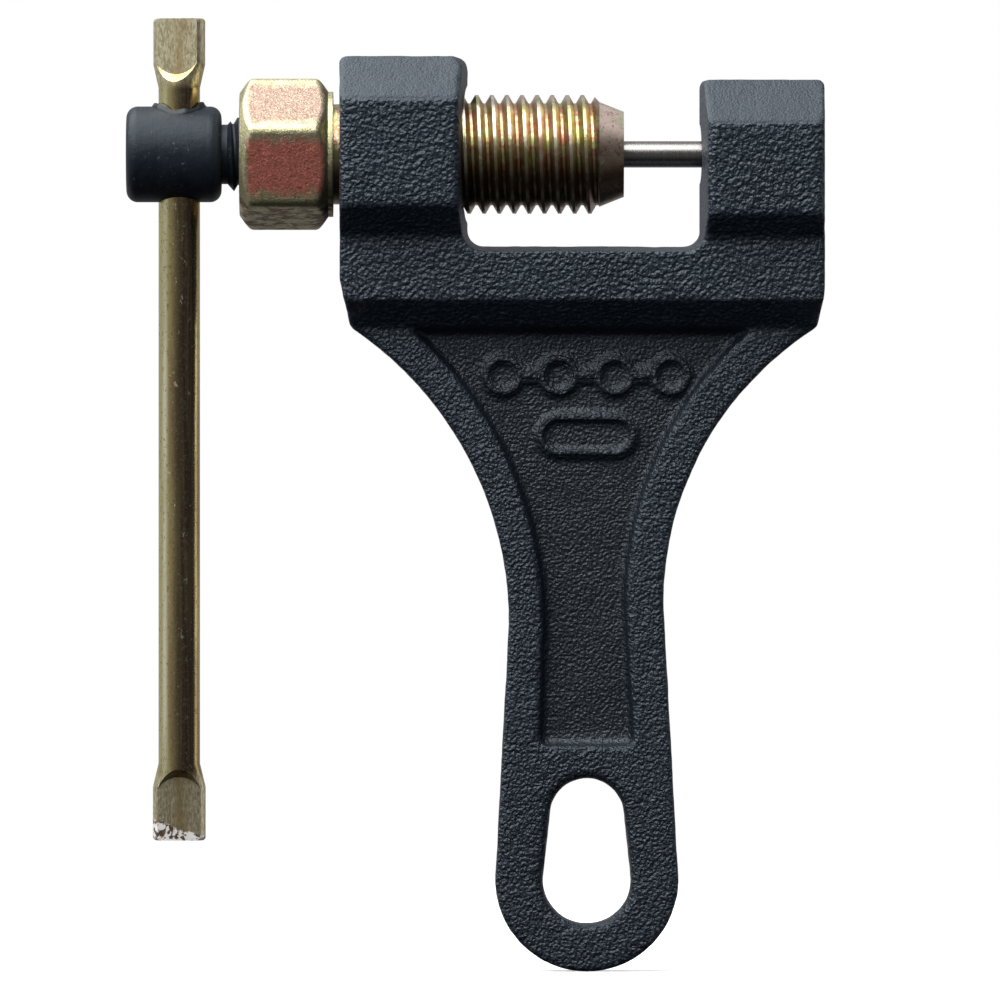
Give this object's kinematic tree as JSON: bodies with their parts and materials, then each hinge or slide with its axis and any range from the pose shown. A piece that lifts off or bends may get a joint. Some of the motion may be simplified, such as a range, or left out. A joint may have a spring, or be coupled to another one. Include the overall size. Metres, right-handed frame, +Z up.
{
  "type": "chain tool",
  "caption": "Screw-type roller chain breaker: black cast frame with a slotted handle, hollow hex adjusting bolt, push screw with sliding T-bar, and extractor pin.",
  "frame": {"origin": "on the screw axis where the anvil's bore starts, at the foot of its countersink", "axes": "+X along the screw axis, out through the anvil; +Z up from the handle towards the jaw; -Y is the face with the raised marks"},
  "size_m": [0.0924, 0.024, 0.1262],
  "materials": {
    "black_casting": "black coated casting with a coarse orange-peel texture",
    "yellow_zinc": "yellow passivated zinc plate, iridescent gold, pink and olive",
    "bar_zinc": "glossy yellow zinc plate, scuffed",
    "black_oxide": "satin black oxide",
    "bright_steel": "ground bright steel",
    "spring_steel": "plain drawn spring wire"
  },
  "bodies": {
    "frame_body": {"frame": "black_casting"},
    "spring_body": {"return_spring": "spring_steel"},
    "bolt_body": {"adjusting_bolt": "yellow_zinc"},
    "pin_body": {"extractor_pin": "bright_steel"},
    "screw_body": {"push_screw": "black_oxide"},
    "bar_body": {"tommy_bar": "bar_zinc"}
  },
  "joints": [
    {"name": "bolt_advance", "type": "slide", "parent": "frame_body", "child": "spring_body", "axis": [1, 0, 0], "range_m": [-0.02001, 0.00081]},
    {"name": "bolt_turn", "type": "hinge", "parent": "spring_body", "child": "bolt_body", "pos_m": [0, 0, 0], "axis": [1, 0, 0], "range_deg": [-3600, 144]},
    {"name": "pin_advance", "type": "slide", "parent": "bolt_body", "child": "pin_body", "axis": [1, 0, 0], "range_m": [-0.01201, 0.00226], "deforming": ["return_spring"]},
    {"name": "push_turn", "type": "hinge", "parent": "pin_body", "child": "screw_body", "pos_m": [0, 0, 0], "axis": [1, 0, 0], "range_deg": [-2880, 540]},
    {"name": "bar_slide", "type": "slide", "parent": "screw_body", "child": "bar_body", "axis": [0, 0, 1], "range_m": [-0.0024, 0.0742]}
  ],
  "couplings": [
    {"joint": "bolt_advance", "follows": "bolt_turn", "m_per_rad": 0.00031831},
    {"joint": "pin_advance", "follows": "push_turn", "m_per_rad": 0.00023873}
  ]
}
